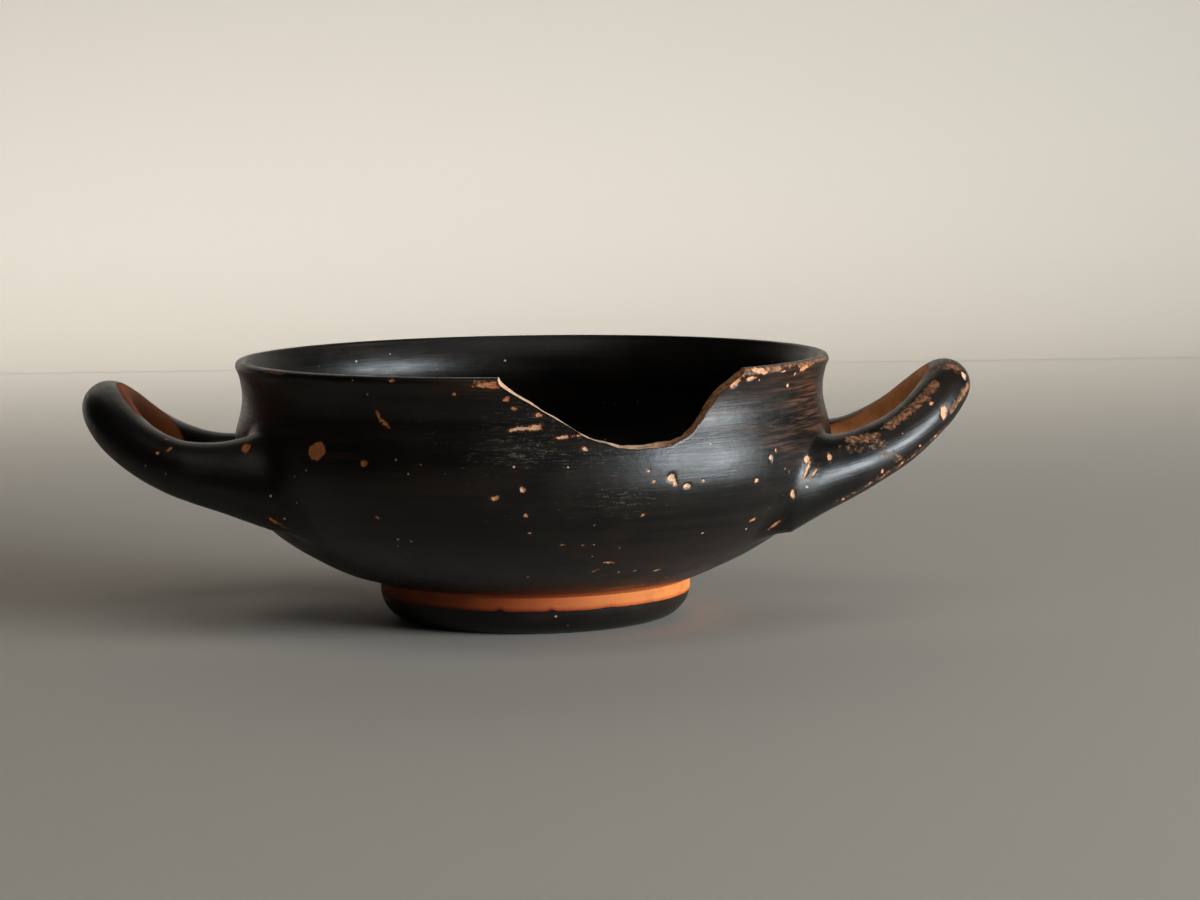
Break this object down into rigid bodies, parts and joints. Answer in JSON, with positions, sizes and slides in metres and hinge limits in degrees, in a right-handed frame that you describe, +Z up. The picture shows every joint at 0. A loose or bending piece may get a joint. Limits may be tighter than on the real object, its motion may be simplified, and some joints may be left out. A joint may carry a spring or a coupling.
{
  "type": "kylix cup",
  "caption": "Ancient stemless kylix: a shallow black-gloss pottery cup with an upswept handle at each side, a low ring foot and a piece broken from its rim.",
  "frame": {"origin": "on the ground under the middle of the cup's length over its handles", "axes": "+Z up, +X along the line through the two handles, -Y towards the side with the broken rim"},
  "size_m": [0.2036, 0.1372, 0.06],
  "materials": {
    "black_gloss": "black gloss slip, worn to buff and orange clay in places"
  },
  "bodies": {
    "root": {"kylix_cup": "black_gloss"}
  },
  "joints": []
}
